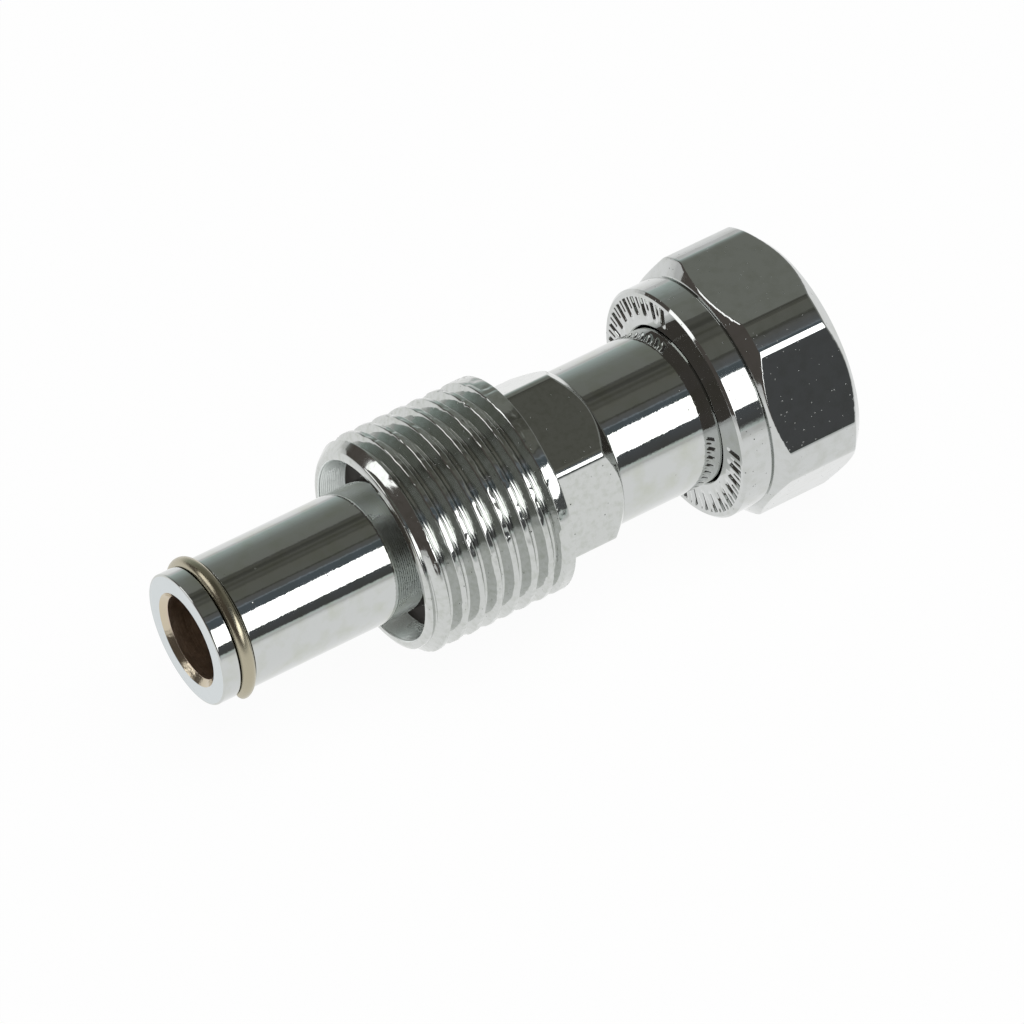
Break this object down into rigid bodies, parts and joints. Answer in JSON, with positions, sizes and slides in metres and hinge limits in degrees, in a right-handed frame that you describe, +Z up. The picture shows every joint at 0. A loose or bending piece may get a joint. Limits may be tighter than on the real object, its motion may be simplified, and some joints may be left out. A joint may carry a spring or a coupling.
{
  "type": "telescopic radiator valve extension",
  "caption": "Chromed tube that slides in a body with a radiator thread and hexagon, stopped by a split ring, and ends in a loose union nut with a flat seal.",
  "frame": {"origin": "on the axis, halfway along the radiator thread", "axes": "+X along the axis from the tube's free end to the union nut, +Z up with the nut lying on one of its flats"},
  "size_m": [0.0642, 0.0254, 0.0234],
  "materials": {
    "nickel_plate": "bright nickel plate over machined brass, slightly pitted in the thread",
    "chrome_plate": "mirror polished chrome plate",
    "chrome_nut": "polished chrome plate over softly edged hexagon, a few pits",
    "bronze_wire": "bright drawn bronze wire",
    "seal_rubber": "matt black rubber"
  },
  "bodies": {
    "radiator_body": {"threaded_body": "nickel_plate", "front_seal_ring": "seal_rubber", "rear_seal_ring": "seal_rubber"},
    "stop": {"stop_ring": "bronze_wire"},
    "tube": {"sliding_tube": "chrome_plate", "sealing_washer": "seal_rubber"},
    "nut": {"union_nut": "chrome_nut"}
  },
  "joints": [
    {"name": "tube_slide", "type": "slide", "parent": "radiator_body", "child": "stop", "axis": [1, 0, 0], "range_m": [0, 0.0187]},
    {"name": "tube_turn", "type": "hinge", "parent": "stop", "child": "tube", "pos_m": [0, 0, 0], "axis": [1, 0, 0], "continuous": true},
    {"name": "nut_turn", "type": "hinge", "parent": "tube", "child": "nut", "pos_m": [0.03, 0, 0], "axis": [1, 0, 0], "continuous": true}
  ]
}
